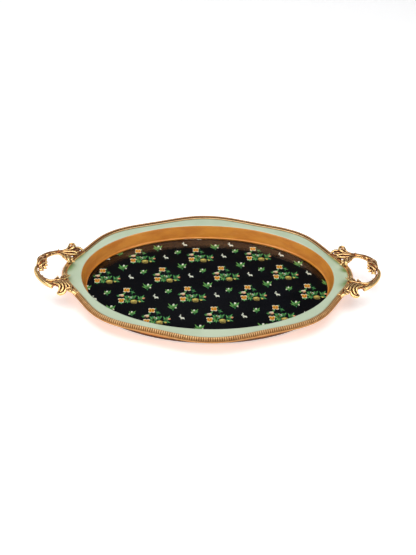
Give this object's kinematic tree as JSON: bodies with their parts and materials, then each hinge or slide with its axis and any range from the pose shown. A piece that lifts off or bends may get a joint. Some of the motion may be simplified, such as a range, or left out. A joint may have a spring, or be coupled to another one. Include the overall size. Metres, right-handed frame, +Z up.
{
  "type": "serving tray",
  "caption": "Oval serving tray with a glazed floral panel in a shallow well, a flat painted rim, a ribbed gilt edge moulding and two cast scroll handles.",
  "frame": {"origin": "middle of the tray in plan, on the surface that the foot pads stand on", "axes": "+Z up, +X along the length towards the right handle, +Y across towards the back"},
  "size_m": [0.492, 0.2916, 0.041],
  "materials": {
    "frame_paint": "cast resin, satin sage green paint on the rim and ochre on the well's wall",
    "moulding_gilt": "cast resin, rubbed copper gilding over brown",
    "panel_glass": "clear and polished",
    "printed_panel": "black sheet printed with small bouquets, sprigs and rabbits",
    "base_wood": "fibreboard, brown lacquer",
    "screw_steel": "zinc plated",
    "pad_felt": "pressed felt",
    "handle_gilt": "cast metal, antique gold with brown patina in the hollows"
  },
  "bodies": {
    "root": {"rim_frame": "frame_paint", "moulding_back": "moulding_gilt", "moulding_front": "moulding_gilt", "glass_panel": "panel_glass", "printed_sheet": "printed_panel", "base_board": "base_wood", "board_screws": "screw_steel", "foot_pads": "pad_felt", "handle_left": "handle_gilt", "handle_right": "handle_gilt", "handle_screws_left": "screw_steel", "handle_screws_right": "screw_steel", "handle_washers_left": "screw_steel", "handle_washers_right": "screw_steel"}
  },
  "joints": []
}
